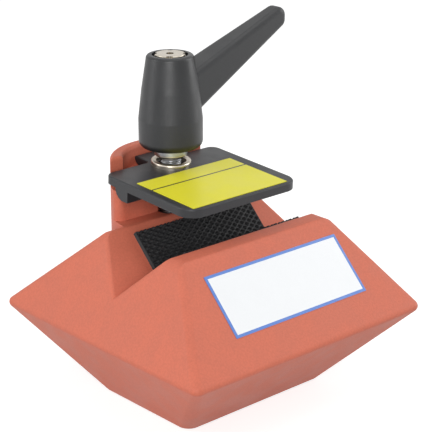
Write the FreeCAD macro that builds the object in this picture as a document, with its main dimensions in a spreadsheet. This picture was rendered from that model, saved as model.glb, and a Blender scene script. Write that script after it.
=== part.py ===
import FreeCAD, Part
import math
import os
import re

import Sketcher

from FreeCAD import Placement, Rotation, Vector

# Stage weight: a cast counterweight that clamps on a tube lying in its V groove.
# X runs along the groove, +Y points to the post behind it, +Z is up.
# The origin is the centre of the base, on the floor. Sizes are in millimetres and degrees.

SIZES = {
    # Cast body: a narrow base, a wide waist and a crown that carries the groove
    "base_half_length": 35.4,
    "base_half_depth": 25.3,
    "base_corner": 5.0,
    "waist_half_length": 58.9,
    "waist_half_depth": 57.2,
    "waist_height": 33.8,
    "waist_corner": 3.0,
    "crown_half_length": 38.1,
    "front_land": 6.9,
    "rear_land": 1.8,
    "crown_height": 67.2,
    "crown_corner": 2.5,
    "crown_end_round": 6.5,
    "cast_edge": 1.6,
    "waist_edge": 2.0,
    "groove_bottom": 49.5,
    "groove_angle": 45.0,
    "cut_over": 1.0,
    # Post behind the groove, with the pocket that holds the plate's tongue
    "post_centre_y": 19.0,
    "post_radius": 27.0,
    "post_front": 33.0,
    "post_root": 42.0,
    "post_top": 90.0,
    "post_edge": 1.4,
    "shoulder_start": 0.5,
    "shoulder_drop": 0.6,
    "block_front": 25.5,
    "block_top": 78.8,
    "block_edge": 3.0,
    "pocket_mouth": 3.0,
    "pocket_radius": 22.0,
    "pocket_floor": 82.2,
    "pocket_slope_start": 36.5,
    "pocket_slope": 14.0,
    "pocket_slope_half": 13.0,
    # Seat of the return spring
    "stud_y": 24.2,
    "seat_height": 63.5,
    "seat_radius": 6.0,
    # Rubber pads on the two groove faces
    "pad_start": 4.0,
    "pad_end": 15.4,
    "pad_thickness": 1.6,
    "pad_half_length": 29.3,
    "pad_centre_x": 2.7,
    # Label on the front slope
    "label_half_length": 33.6,
    "label_centre_x": 2.3,
    "label_drop": 7.5,
    "label_width": 25.3,
    "label_thickness": 0.2,
    # Stud and return spring
    "stud_radius": 4.0,
    "stud_depth": 17.0,
    "stud_end_gap": 0.5,
    "stud_top": 104.0,
    "stud_chamfer": 0.8,
    "thread_clearance": 0.05,
    "seat_washer_thickness": 1.0,
    "washer_gap": 0.3,
    "return_wire": 0.9,
    "return_radius": 4.75,
    "return_turns": 6.0,
    # Clamp plate, drawn flat about its hook and then tilted
    "hook_y": 36.5,
    "hook_height": 85.9,
    "plate_tilt": 3.0,
    "plate_thickness": 3.4,
    "plate_half_width": 28.0,
    "plate_reach": 55.6,
    "plate_back": 5.7,
    "plate_corner": 6.5,
    "plate_rear_corner": 4.0,
    "plate_edge": 0.7,
    "tongue_half_width": 5.5,
    "tongue_fillet": 2.0,
    "slot_half_width": 4.5,
    "slot_half_length": 5.4,
    "rib_front": 19.9,
    "rib_depth": 4.4,
    "rib_land": 2.8,
    "rib_gap": 7.5,
    "plate_label_left": 24.8,
    "plate_label_right": 22.5,
    "plate_label_front": 53.9,
    "plate_label_back": 21.6,
    # Washers between the plate and the lever
    "seat_ring_radius": 7.9,
    "seat_ring_bore": 5.8,
    "seat_ring_thickness": 1.9,
    "seat_ring_edge": 0.7,
    "dome_radius": 9.0,
    "dome_centre": 95.75,
    "dome_outer": 6.5,
    "dome_bore": 4.4,
    "dome_top": 89.9,
    "turning_gap": 0.1,
    # Threaded insert of the lever
    "collar_radius": 6.5,
    "collar_height": 3.2,
    "spline_root": 6.9,
    "spline_tip": 7.5,
    "spline_length": 4.8,
    "spline_teeth": 24,
    "shank_radius": 6.0,
    "shank_top": 114.0,
    "blind_top": 107.2,
    "screw_hole_bottom": 109.0,
    # Retaining screw in the top of the hub
    "screw_radius": 3.0,
    "screw_end_gap": 1.0,
    "screw_head_radius": 5.95,
    "screw_head_bottom": 126.5,
    "screw_head_top": 129.3,
    "screw_head_edge": 0.4,
    "screw_socket_radius": 1.5,
    "screw_socket_depth": 1.6,
    "screw_notches": 4,
    "screw_notch_turn": 48.0,
    "screw_notch_reach": 6.3,
    "screw_notch_radius": 1.4,
    "screw_notch_depth": 0.9,
    # Hub and arm of the lever
    "hub_bottom": 92.4,
    "hub_radius": 12.5,
    "hub_bottom_edge": 3.0,
    "hub_shoulder": 104.0,
    "hub_neck_height": 115.5,
    "hub_neck_radius": 11.2,
    "hub_top": 129.0,
    "hub_top_radius": 9.3,
    "hub_top_edge": 1.4,
    "hub_rim_radius": 7.0,
    "hub_rim_depth": 1.5,
    "hub_mouth_radius": 7.8,
    "hub_bore_gap": 0.3,
    "spline_gap": 0.1,
    "spline_play": 0.12,
    "spline_overlap": 0.2,
    "ledge_thickness": 1.3,
    "spring_chamber": 6.3,
    "arm_length": 58.8,
    "arm_top_root": 118.8,
    "arm_top_rise": 22.5,
    "arm_bottom_root": 100.4,
    "arm_bottom_rise": 32.1,
    "arm_root_half": 7.1,
    "arm_tip_half": 3.7,
    "arm_tip_round": 3.5,
    "arm_edge": 2.4,
    # Ratchet spring inside the hub
    "ratchet_wire": 1.0,
    "ratchet_radius": 4.75,
    "ratchet_turns": 4.5,
    "spring_end_gap": 0.15,
}

doc = FreeCAD.newDocument("stage_weight")
sheet = doc.addObject("Spreadsheet::Sheet", "Sizes")
for row, (alias, size) in enumerate(SIZES.items(), start=1):
    sheet.set(f"A{row}", alias)
    sheet.set(f"B{row}", str(size))
    sheet.setAlias(f"B{row}", alias)
doc.recompute()


def cells(formula):
    """The formula with each size's name turned into its cell of the sheet."""
    return re.sub(r"[a-z_]+", lambda m: f"Sizes.{m[0]}" if m[0] in SIZES else m[0], str(formula))


def value(formula):
    """The formula's present value, as a plain number."""
    result = sheet.evalExpression(cells(formula))
    return float(getattr(result, "Value", result))


def bind(target, prop, formula):
    """Tie one property of an object to a formula of sizes."""
    target.setExpression(prop, cells(formula))


def plane_of(body, role):
    """The origin plane of a body, found by its role."""
    return next(feature for feature in body.Origin.OriginFeatures if feature.Role == role)


def new_body(label, x="0", y="0", z="0", tilt=None):
    """A body at a place, turned about X when a tilt is given."""
    body = doc.addObject("PartDesign::Body", label)
    body.Label = label
    set_place(body, x, y, z, tilt)
    return body


def set_place(thing, x="0", y="0", z="0", tilt=None):
    """Bind where a sub-part stands, and its turn about X."""
    if tilt is not None:
        thing.Placement = Placement(Vector(), Rotation(Vector(1, 0, 0), value(tilt)))
        bind(thing, "Placement.Rotation.Angle", tilt)
    for axis, formula in (("x", x), ("y", y), ("z", z)):
        bind(thing, f"Placement.Base.{axis}", formula)


def new_sketch(body, name, role, offset="0"):
    """A sketch on an origin plane of its own body, moved along the plane's normal."""
    sketch = body.newObject("Sketcher::SketchObject", name)
    sketch.AttachmentSupport = [(plane_of(body, role), "")]
    sketch.MapMode = "FlatFace"
    bind(sketch, "AttachmentOffset.Base.z", offset)
    doc.recompute()
    return sketch


def pin_point(sketch, geometry, end, x, y):
    """Hold one end of a line or arc at its two coordinates."""
    for kind, formula in (("DistanceX", x), ("DistanceY", y)):
        number = sketch.addConstraint(Sketcher.Constraint(kind, -1, 1, geometry, end, value(formula)))
        sketch.setExpression(f"Constraints[{number}]", cells(formula))


def draw_outline(sketch, corners):
    """A closed outline of lines and arcs.

    Each corner is (x, y) or (x, y, radius, side): with a radius, an arc runs on to the next
    corner, and its centre lies on the left (+1) or right (-1) of the way there.
    """
    places = [Vector(value(corner[0]), value(corner[1]), 0) for corner in corners]
    edges = []
    for index, corner in enumerate(corners):
        start = places[index]
        end = places[(index + 1) % len(corners)]
        if len(corner) == 2:
            edges.append(sketch.addGeometry(Part.LineSegment(start, end), False))
            continue
        chord = end - start
        radius = value(corner[2])
        left = Vector(-chord.y, chord.x, 0).normalize()
        depth = math.sqrt(max(radius ** 2 - chord.Length ** 2 / 4, 0))
        centre = (start + end) * 0.5 + left * corner[3] * depth
        outward = (start + end) * 0.5 - centre
        outward = outward.normalize() if outward.Length > 1e-6 else left * -corner[3]
        edges.append(sketch.addGeometry(Part.Arc(start, centre + outward * radius, end), False))
        number = sketch.addConstraint(Sketcher.Constraint("Radius", edges[-1], radius))
        sketch.setExpression(f"Constraints[{number}]", cells(corner[2]))
    for index, corner in enumerate(corners):
        following = (index + 1) % len(corners)
        here = end_towards(sketch, edges[index], places[following])
        there = end_towards(sketch, edges[following], places[following])
        sketch.addConstraint(Sketcher.Constraint("Coincident", edges[index], here, edges[following], there))
        pin_point(sketch, edges[following], there, *corners[following][:2])
    return sketch


def end_towards(sketch, geometry, place):
    """Which end of a drawn line or arc lies at a place: 1 is its start, 2 its end."""
    return min((1, 2), key=lambda end: (sketch.getPoint(geometry, end) - place).Length)


def draw_circle(sketch, x, y, radius):
    """A circle held by its centre and radius."""
    circle = Part.Circle(Vector(value(x), value(y), 0), Vector(0, 0, 1), value(radius))
    number = sketch.addGeometry(circle, False)
    held = sketch.addConstraint(Sketcher.Constraint("Radius", number, value(radius)))
    sketch.setExpression(f"Constraints[{held}]", cells(radius))
    pin_point(sketch, number, 3, x, y)
    return sketch


def draw_slot(sketch, x, front, back, radius):
    """A slot along Y with round ends, held by its two end centres and its radius."""
    centre = {"front": Vector(value(x), value(front), 0), "back": Vector(value(x), value(back), 0)}
    wide = Vector(value(radius), 0, 0)
    deep = Vector(0, value(radius), 0)
    right = sketch.addGeometry(Part.LineSegment(centre["front"] + wide, centre["back"] + wide), False)
    cap = sketch.addGeometry(
        Part.Arc(centre["back"] + wide, centre["back"] + deep, centre["back"] - wide), False
    )
    left = sketch.addGeometry(Part.LineSegment(centre["back"] - wide, centre["front"] - wide), False)
    toe = sketch.addGeometry(
        Part.Arc(centre["front"] - wide, centre["front"] - deep, centre["front"] + wide), False
    )
    for first, second in ((right, cap), (cap, left), (left, toe), (toe, right)):
        sketch.addConstraint(Sketcher.Constraint("Tangent", first, 2, second, 1))
    held = sketch.addConstraint(Sketcher.Constraint("Radius", cap, value(radius)))
    sketch.setExpression(f"Constraints[{held}]", cells(radius))
    sketch.addConstraint(Sketcher.Constraint("Equal", cap, toe))
    pin_point(sketch, toe, 3, x, front)
    pin_point(sketch, cap, 3, x, back)
    return sketch


def box_corners(left, right, front, back):
    """The corners of a rectangle."""
    return [(left, front), (right, front), (right, back), (left, back)]


def rounded_box(half, front, back, corner):
    """The corners of a rectangle, the same on its left and right, with quarter-round corners."""
    return [
        (f"{corner} - {half}", front), (f"{half} - {corner}", front, corner, 1),
        (half, f"{front} + {corner}"), (half, f"{back} - {corner}", corner, 1),
        (f"{half} - {corner}", back), (f"{corner} - {half}", back, corner, 1),
        (f"-{half}", f"{back} - {corner}"), (f"-{half}", f"{front} + {corner}", corner, 1),
    ]


def feature(body, kind, name, profile, **settings):
    """A PartDesign feature on a profile. Text settings are formulas, the others plain values."""
    made = body.newObject(f"PartDesign::{kind}", name)
    made.Profile = profile
    for prop, setting in settings.items():
        if isinstance(setting, str) and prop not in ("Type", "SideType"):
            bind(made, prop, setting)
        else:
            setattr(made, prop, setting)
    doc.recompute()
    return made


def cut(body, kind, name, profile, **settings):
    """A feature that takes material away, with proof that it did."""
    before = body.Shape.Volume
    made = feature(body, kind, name, profile, **settings)
    assert body.Shape.Volume < before - 0.01, f"{name} cuts nothing"
    return made


def round_edges(body, name, radius, chosen, kind="Fillet"):
    """Round or chamfer the edges of the body so far for which the test says yes."""
    tip = body.Tip
    names = []
    for number, edge in enumerate(tip.Shape.Edges, start=1):
        middle = edge.valueAt((edge.FirstParameter + edge.LastParameter) / 2)
        if chosen(edge, middle):
            names.append(f"Edge{number}")
    assert names, f"{name} finds no edge"
    made = body.newObject(f"PartDesign::{kind}", name)
    made.Base = (tip, names)
    bind(made, "Radius" if kind == "Fillet" else "Size", radius)
    doc.recompute()
    return made


def near(first, second, margin=0.02):
    """Whether two lengths are the same within a margin."""
    return abs(first - second) < margin


def helix_tube(label, wire, radius, bottom, top, turns):
    """A coil spring about the stud: one wire, its end turns close, its middle turns even.

    The wire's line is made of pairs of arcs that meet without a kink, one pair for each
    quarter turn, and its least gap to itself is printed.
    """
    steps = int(round(turns * 4))
    close = wire + 0.5
    free = top - bottom - wire
    open_pitch = (free - 1.5 * close) / (turns - 1.5)

    def pitch(step):
        """The rise in one turn at a quarter-turn step: close at both ends."""
        nearest = min(step, steps - step)
        return close + (open_pitch - close) * min(max((nearest - 2) / 2.0, 0.0), 1.0)

    rises = [0.0]
    for step in range(steps):
        rises.append(rises[-1] + (pitch(step) + pitch(step + 1)) / 8)
    stretch = free / rises[-1]

    def point(step):
        """A knot of the wire's line."""
        angle = step * math.pi / 2
        height = bottom + wire / 2 + rises[step] * stretch
        return Vector(radius * math.cos(angle), radius * math.sin(angle), height)

    def tangent(step):
        """The wire's direction at a knot."""
        angle = step * math.pi / 2
        around = Vector(-math.sin(angle), math.cos(angle), 0) * 2 * math.pi * radius
        return (around + Vector(0, 0, pitch(step) * stretch)).normalize()

    edges = []
    for step in range(steps):
        edges += biarc(point(step), tangent(step), point(step + 1), tangent(step + 1))
    section = Part.Wire([Part.Circle(point(0), tangent(0), wire / 2).toShape()])
    tube = Part.Wire(edges).makePipeShell([section], True, False)
    print(label, "least gap to itself", round(least_gap(edges, wire), 3))
    made = doc.addObject("Part::Feature", label)
    made.Label = label
    made.Shape = tube
    set_place(made, y="stud_y")
    return made


def biarc(start, start_way, end, end_way):
    """Two arcs that leave along one direction, arrive along another and meet tangent."""
    span = end - start
    ways = start_way + end_way
    bend = 2 * (1 - start_way.dot(end_way))
    reach = (-span.dot(ways) + math.sqrt(span.dot(ways) ** 2 + bend * span.dot(span))) / bend
    joint = (start + end + (start_way - end_way) * reach) * 0.5
    return [tangent_arc(start, start_way, joint), tangent_arc(end, end_way * -1, joint)]


def tangent_arc(start, way, end):
    """The arc that leaves a point along a direction and ends at another point."""
    chord = end - start
    along = Vector(chord).normalize()
    side = way - along * way.dot(along)
    height = chord.Length / 2 * math.tan(math.acos(way.dot(along)) / 2)
    return Part.Arc(start, (start + end) * 0.5 + side.normalize() * height, end).toShape()


def least_gap(edges, wire):
    """The least distance between the surfaces of turns that lie over each other."""
    steps = 6
    points = [point for edge in edges for point in edge.discretize(steps + 1)[:-1]]
    half_turn = 2 * 2 * steps
    return min(
        (points[first] - points[second]).Length - wire
        for first in range(len(points))
        for second in range(first + half_turn, len(points))
    )


# Heights, places and sizes that follow from the ones in the sheet

RIM_Y = "(crown_height - groove_bottom) / tan(groove_angle * 1 deg)"
CROWN_FRONT = f"({RIM_Y} + front_land)"
CROWN_REAR = f"({RIM_Y} + rear_land)"
GROOVE_HALF = f"({RIM_Y} + cut_over / tan(groove_angle * 1 deg))"
END_SLOPE = "atan((crown_height - waist_height) / (waist_half_length - crown_half_length))"
END_REACH = f"(crown_end_round * tan({END_SLOPE} / 2))"
SHOULDER_FRONT = f"max({CROWN_REAR}; post_centre_y + shoulder_start)"
POCKET_FRONT = "(post_front - pocket_mouth)"
STUD_REACH = "((hook_y - stud_y) / cos(plate_tilt * 1 deg))"
PLATE_DROP = "((hook_y - stud_y) * tan(plate_tilt * 1 deg) + plate_thickness / cos(plate_tilt * 1 deg))"
PLATE_UNDER = f"(hook_height - {PLATE_DROP})"
SEAT_WASHER_TOP = "(seat_height + seat_washer_thickness)"
INSERT_BOTTOM = "(dome_top + turning_gap)"
SPLINE_BOTTOM = f"({INSERT_BOTTOM} + collar_height)"
SPLINE_TOP = f"({SPLINE_BOTTOM} + spline_length)"
LEDGE_BOTTOM = "(shank_top + hub_bore_gap)"
LEDGE_TOP = f"({LEDGE_BOTTOM} + ledge_thickness)"


# Cast body with its groove, post, pocket and spring seat

casting = new_body("weight_casting")
base_outline = draw_outline(
    new_sketch(casting, "base_outline", "XY_Plane"),
    rounded_box("base_half_length", "-base_half_depth", "base_half_depth", "base_corner"),
)
waist_outline = draw_outline(
    new_sketch(casting, "waist_outline", "XY_Plane", "waist_height"),
    rounded_box("waist_half_length", "-waist_half_depth", "waist_half_depth", "waist_corner"),
)
crown_outline = draw_outline(
    new_sketch(casting, "crown_outline", "XY_Plane", "crown_height"),
    rounded_box("crown_half_length", f"-{CROWN_FRONT}", CROWN_REAR, "crown_corner"),
)
feature(casting, "AdditiveLoft", "lower_half", base_outline, Sections=[waist_outline], Ruled=True)
feature(casting, "AdditiveLoft", "upper_half", waist_outline, Sections=[crown_outline], Ruled=True)

waist = value("waist_height")
crown = value("crown_height")
round_edges(casting, "waist_rounding", "waist_edge", lambda edge, middle: near(middle.z, waist))
groove = draw_outline(
    new_sketch(casting, "groove_outline", "YZ_Plane"),
    [
        ("0", "groove_bottom"),
        (GROOVE_HALF, "crown_height + cut_over"),
        (f"-{GROOVE_HALF}", "crown_height + cut_over"),
    ],
)
cut(casting, "Pocket", "groove", groove, Type="Length", Midplane=True, Length="waist_half_length * 2")


def is_crown_edge(edge, middle):
    """The crown's outline and the groove's long and end edges."""
    flank = value("groove_bottom") + abs(middle.y) * math.tan(math.radians(value("groove_angle")))
    on_end = abs(middle.x) > value("crown_half_length") / 2
    return near(middle.z, crown) or (on_end and near(middle.z, flank))


round_edges(casting, "crown_rounding", "cast_edge", is_crown_edge)
round_edges(casting, "base_rounding", "cast_edge", lambda edge, middle: near(middle.z, 0))
end_outline = new_sketch(casting, "end_outline", "XZ_Plane")
end_drop = f"crown_height - {END_REACH} * sin({END_SLOPE})"
for side, turn in (("", -1), ("-", 1)):
    draw_outline(end_outline, [
        (f"{side}(crown_half_length - {END_REACH})", "crown_height", "crown_end_round + cut_over", turn),
        (f"{side}(crown_half_length + {END_REACH} * cos({END_SLOPE}))", end_drop),
        (f"{side}(crown_half_length + 2 * {END_REACH})", end_drop),
        (f"{side}(crown_half_length + 2 * {END_REACH})", "crown_height + cut_over"),
        (f"{side}(crown_half_length - {END_REACH})", "crown_height + cut_over"),
    ])
cut(
    casting, "Pocket", "end_rounding", end_outline,
    Type="Length", Midplane=True, Length="waist_half_depth * 2",
)


def post_outline(name, height, front, radius):
    """An outline about the post's upright line: flat in front, round behind."""
    half = f"sqrt({radius} ^ 2 - ({front} - post_centre_y) ^ 2)"
    return draw_outline(
        new_sketch(casting, name, "XY_Plane", height),
        [(f"-{half}", front), (half, front, radius, 1)],
    )


shoulder_outline = post_outline("shoulder_outline", "post_root", SHOULDER_FRONT, "post_radius")
shoulder_top = "(crown_height - shoulder_drop)"
feature(casting, "Pad", "shoulder", shoulder_outline, Type="Length", Length=f"{shoulder_top} - post_root")
block_outline = post_outline("block_outline", "post_root", "block_front", "post_radius")
feature(casting, "Pad", "block", block_outline, Type="Length", Length="block_top - post_root")
front_face = value("block_front")
round_edges(
    casting, "block_rounding", "block_edge",
    lambda edge, middle: near(middle.y, front_face) and edge.BoundBox.ZLength > edge.BoundBox.XLength,
)
column_outline = post_outline("column_outline", "post_root", "post_front", "post_radius")
feature(casting, "Pad", "column", column_outline, Type="Length", Length="post_top - post_root")
pocket_outline = post_outline("pocket_outline", "post_top", POCKET_FRONT, "pocket_radius")
cut(casting, "Pocket", "tongue_pocket", pocket_outline, Type="Length", Length="post_top - pocket_floor")

slope_outline = draw_outline(
    new_sketch(casting, "slope_outline", "YZ_Plane"),
    [
        (POCKET_FRONT, f"pocket_floor - (pocket_slope_start - {POCKET_FRONT}) * tan(pocket_slope * 1 deg)"),
        ("pocket_slope_start", "pocket_floor"),
        ("pocket_slope_start", "pocket_floor + cut_over"),
        (POCKET_FRONT, "pocket_floor + cut_over"),
    ],
)
cut(
    casting, "Pocket", "pocket_slope_cut", slope_outline,
    Type="Length", Midplane=True, Length="pocket_slope_half * 2",
)
seat_outline = draw_circle(
    new_sketch(casting, "seat_outline", "XY_Plane", "block_top"), "0", "stud_y", "seat_radius"
)
cut(casting, "Pocket", "spring_seat", seat_outline, Type="Length", Length="block_top - seat_height")
stud_hole = draw_circle(
    new_sketch(casting, "stud_hole_outline", "XY_Plane", "seat_height"),
    "0", "stud_y", "stud_radius + thread_clearance",
)
cut(casting, "Pocket", "stud_hole", stud_hole, Type="Length", Length="stud_depth")
top = value("post_top")
round_edges(casting, "post_rounding", "post_edge", lambda edge, middle: near(middle.z, top))


# Pads and front label

def new_slab(label, length, width, height, x, y, z, tilt):
    """A flat rectangular piece, turned about X."""
    slab = doc.addObject("Part::Box", label)
    slab.Label = label
    bind(slab, "Length", length)
    bind(slab, "Width", width)
    bind(slab, "Height", height)
    set_place(slab, x, y, z, tilt)
    return slab


pad_width = "(pad_end - pad_start) / cos(groove_angle * 1 deg)"
pad_foot = "groove_bottom + pad_start * tan(groove_angle * 1 deg)"
new_slab(
    "rear_groove_pad", "pad_half_length * 2", pad_width, "pad_thickness",
    "pad_centre_x - pad_half_length", "pad_start", pad_foot, "groove_angle",
)
new_slab(
    "front_groove_pad", "pad_half_length * 2", pad_width, "pad_thickness",
    "pad_centre_x - pad_half_length",
    "pad_thickness * sin(groove_angle * 1 deg) - pad_start",
    f"{pad_foot} + pad_thickness * cos(groove_angle * 1 deg)",
    "180 - groove_angle",
)
slope_angle = f"atan((crown_height - waist_height) / (waist_half_depth - {CROWN_FRONT}))"
label_reach = "(label_drop + label_width)"
new_slab(
    "front_label", "label_half_length * 2", "label_width", "label_thickness",
    "label_centre_x - label_half_length",
    f"-{CROWN_FRONT} - {label_reach} * cos({slope_angle})",
    f"crown_height - {label_reach} * sin({slope_angle})",
    slope_angle,
)


# Stud, seat washer and return spring

stud = new_body("clamp_stud", y="stud_y")
stud_bottom = "(seat_height - stud_depth + stud_end_gap)"
stud_outline = draw_circle(
    new_sketch(stud, "stud_outline", "XY_Plane", stud_bottom), "0", "0", "stud_radius"
)
feature(stud, "Pad", "stud_rod", stud_outline, Type="Length", Length=f"stud_top - {stud_bottom}")
stud_end = value("stud_top")
round_edges(
    stud, "stud_ends", "stud_chamfer", lambda edge, middle: near(middle.z, stud_end), kind="Chamfer",
)


def new_ring(label, outer, bore, bottom, height, y="0", centre="0", **place):
    """A flat ring about an upright line."""
    ring = new_body(label, y=y, **place)
    outline = new_sketch(ring, f"{label}_outline", "XY_Plane", bottom)
    draw_circle(outline, "0", centre, outer)
    draw_circle(outline, "0", centre, bore)
    feature(ring, "Pad", f"{label}_body", outline, Type="Length", Length=height)
    return ring


new_ring(
    "spring_washer", "seat_radius - washer_gap", "stud_radius + washer_gap",
    "seat_height", "seat_washer_thickness", y="stud_y",
)
tilt_drop = "(return_radius + return_wire / 2) * tan(plate_tilt * 1 deg)"
helix_tube(
    "return_spring",
    wire=value("return_wire"),
    radius=value("return_radius"),
    bottom=value(f"{SEAT_WASHER_TOP} + spring_end_gap"),
    top=value(f"{PLATE_UNDER} - {tilt_drop} - spring_end_gap"),
    turns=value("return_turns"),
)


# Clamp plate: its frame has the hook as its origin and the top face as its XY plane

plate_place = {"y": "hook_y", "z": "hook_height", "tilt": "plate_tilt"}
plate = new_body("clamp_plate", **plate_place)
plate_outline = draw_outline(
    new_sketch(plate, "plate_outline", "XY_Plane"),
    [
        ("plate_corner - plate_half_width", "-plate_reach"),
        ("plate_half_width - plate_corner", "-plate_reach", "plate_corner", 1),
        ("plate_half_width", "plate_corner - plate_reach"),
        ("plate_half_width", "-plate_back - plate_rear_corner", "plate_rear_corner", 1),
        ("plate_half_width - plate_rear_corner", "-plate_back"),
        ("plate_rear_corner - plate_half_width", "-plate_back", "plate_rear_corner", 1),
        ("-plate_half_width", "-plate_back - plate_rear_corner"),
        ("-plate_half_width", "plate_corner - plate_reach", "plate_corner", 1),
    ],
)
feature(plate, "Pad", "plate_sheet", plate_outline, Type="Length", Length="plate_thickness", Reversed=True)
tongue_outline = draw_outline(
    new_sketch(plate, "tongue_outline", "YZ_Plane"),
    [
        ("-plate_back - cut_over", "0"),
        ("-plate_back - cut_over", "-plate_thickness"),
        ("0", "-plate_thickness", "plate_thickness", 1),
        ("plate_thickness", "0"),
    ],
)
feature(plate, "Pad", "tongue", tongue_outline, Type="Length", Midplane=True, Length="tongue_half_width * 2")
tongue_side = value("tongue_half_width")
plate_rear = -value("plate_back")
round_edges(
    plate, "tongue_fillets", "tongue_fillet",
    lambda edge, middle: near(abs(middle.x), tongue_side)
    and near(middle.y, plate_rear)
    and edge.BoundBox.ZLength > edge.BoundBox.XLength,
)
rib_outline = draw_outline(
    new_sketch(plate, "rib_outline", "YZ_Plane"),
    [
        ("-rib_front", "-plate_thickness"),
        ("-rib_front", "-plate_thickness - rib_depth"),
        ("rib_land - rib_front", "-plate_thickness - rib_depth", "rib_depth", 1),
        ("rib_land + rib_depth - rib_front", "-plate_thickness"),
    ],
)
feature(plate, "Pad", "heel_rib", rib_outline, Type="Length", Midplane=True, Length="plate_half_width * 2")
gap_outline = draw_outline(
    new_sketch(plate, "rib_gap_outline", "XY_Plane", "-plate_thickness"),
    box_corners(
        "-rib_gap", "rib_gap", "-rib_front - cut_over", "rib_land + rib_depth - rib_front + cut_over",
    ),
)
cut(plate, "Pocket", "rib_gap_cut", gap_outline, Type="Length", Length="rib_depth + cut_over")
slot_side = "(slot_half_length - slot_half_width)"
slot_outline = draw_slot(
    new_sketch(plate, "slot_outline", "XY_Plane"),
    "0", f"-{STUD_REACH} - {slot_side}", f"{slot_side} - {STUD_REACH}", "slot_half_width",
)
cut(plate, "Pocket", "stud_slot", slot_outline, Type="Length", Length="plate_thickness + cut_over")
stud_reach = value(STUD_REACH)
slot_clear = value("slot_half_length + cut_over")
round_edges(
    plate, "plate_rounding", "plate_edge",
    lambda edge, middle: near(middle.z, 0) and math.hypot(middle.x, middle.y + stud_reach) > slot_clear,
)

plate_label = new_body("plate_label", **plate_place)
plate_label_outline = draw_outline(
    new_sketch(plate_label, "plate_label_outline", "XY_Plane"),
    box_corners("-plate_label_left", "plate_label_right", "-plate_label_front", "-plate_label_back"),
)
feature(
    plate_label, "Pad", "plate_label_sheet", plate_label_outline,
    Type="Length", Length="label_thickness",
)


# Washers between the plate and the lever

thrust_washer = new_ring(
    "thrust_washer", "seat_ring_radius", "seat_ring_bore", "0", "seat_ring_thickness",
    centre=f"-{STUD_REACH}", **plate_place,
)
ring_top = value("seat_ring_thickness")
round_edges(
    thrust_washer, "thrust_washer_rounding", "seat_ring_edge",
    lambda edge, middle: near(middle.z, ring_top),
)


def revolved(body, name, corners, kind="Revolution"):
    """A turned form: a half outline in the XZ plane, turned about the stud's line."""
    outline = draw_outline(new_sketch(body, f"{name}_outline", "XZ_Plane"), corners)
    make = cut if kind == "Groove" else feature
    return make(body, kind, name, outline, ReferenceAxis=(outline, ["V_Axis"]), Angle=360.0)


spherical_washer = new_body("spherical_washer", y="stud_y")
revolved(spherical_washer, "washer_dome", [
    ("dome_bore", "dome_centre - sqrt(dome_radius ^ 2 - dome_bore ^ 2)", "dome_radius", 1),
    ("dome_outer", "dome_centre - sqrt(dome_radius ^ 2 - dome_outer ^ 2)"),
    ("dome_outer", "dome_top"),
    ("dome_bore", "dome_top"),
])


# Threaded insert and retaining screw

insert = new_body("threaded_insert", y="stud_y")
revolved(insert, "insert_core", [
    ("0", INSERT_BOTTOM), ("collar_radius", INSERT_BOTTOM), ("collar_radius", SPLINE_BOTTOM),
    ("spline_tip", SPLINE_BOTTOM), ("spline_tip", SPLINE_TOP), ("shank_radius", SPLINE_TOP),
    ("shank_radius", "shank_top"), ("0", "shank_top"),
])
notch_half = "spline_tip * sin(150 deg / spline_teeth)"
notch_reach = "spline_tip * cos(150 deg / spline_teeth)"
notch_outline = draw_outline(
    new_sketch(insert, "notch_outline", "XY_Plane", SPLINE_BOTTOM),
    [
        ("spline_root", "0"),
        (f"spline_root + 2 * ({notch_reach} - spline_root)", f"-2 * {notch_half}"),
        (f"spline_root + 2 * ({notch_reach} - spline_root)", f"2 * {notch_half}"),
    ],
)
notch = cut(
    insert, "Pocket", "spline_notch", notch_outline,
    Type="Length", Length="spline_length", Reversed=True,
)


def around_stud(body, name, original, count):
    """A feature repeated evenly about the stud's line."""
    pattern = body.newObject("PartDesign::PolarPattern", name)
    pattern.Originals = [original]
    pattern.Axis = (plane_of(body, "Z_Axis"), [""])
    pattern.Angle = 360.0
    bind(pattern, "Occurrences", count)
    body.Tip = pattern
    doc.recompute()
    return pattern


around_stud(insert, "spline_notches", notch, "spline_teeth")
revolved(insert, "stud_thread", [
    ("0", INSERT_BOTTOM), ("stud_radius + thread_clearance", INSERT_BOTTOM),
    ("stud_radius + thread_clearance", "blind_top"), ("0", "blind_top"),
], kind="Groove")
revolved(insert, "screw_thread", [
    ("0", "screw_hole_bottom"), ("screw_radius + thread_clearance", "screw_hole_bottom"),
    ("screw_radius + thread_clearance", "shank_top"), ("0", "shank_top"),
], kind="Groove")

screw = new_body("retaining_screw", y="stud_y")
revolved(screw, "screw_core", [
    ("0", "screw_hole_bottom + screw_end_gap"), ("screw_radius", "screw_hole_bottom + screw_end_gap"),
    ("screw_radius", "screw_head_bottom"), ("screw_head_radius", "screw_head_bottom"),
    ("screw_head_radius", "screw_head_top"), ("0", "screw_head_top"),
])
head_top = value("screw_head_top")
round_edges(screw, "screw_head_rounding", "screw_head_edge", lambda edge, middle: near(middle.z, head_top))
socket_outline = draw_circle(
    new_sketch(screw, "socket_outline", "XY_Plane", "screw_head_top"), "0", "0", "screw_socket_radius"
)
cut(screw, "Pocket", "screw_socket", socket_outline, Type="Length", Length="screw_socket_depth")
head_notch_outline = draw_circle(
    new_sketch(screw, "head_notch_outline", "XY_Plane", "screw_head_top"),
    "screw_notch_reach * cos(screw_notch_turn * 1 deg)",
    "screw_notch_reach * sin(screw_notch_turn * 1 deg)",
    "screw_notch_radius",
)
head_notch = cut(
    screw, "Pocket", "head_notch", head_notch_outline,
    Type="Length", Length="screw_notch_depth",
)
around_stud(screw, "head_notches", head_notch, "screw_notches")


# Lever: arm first, then the turned hub with its bores and its inner splines

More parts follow.
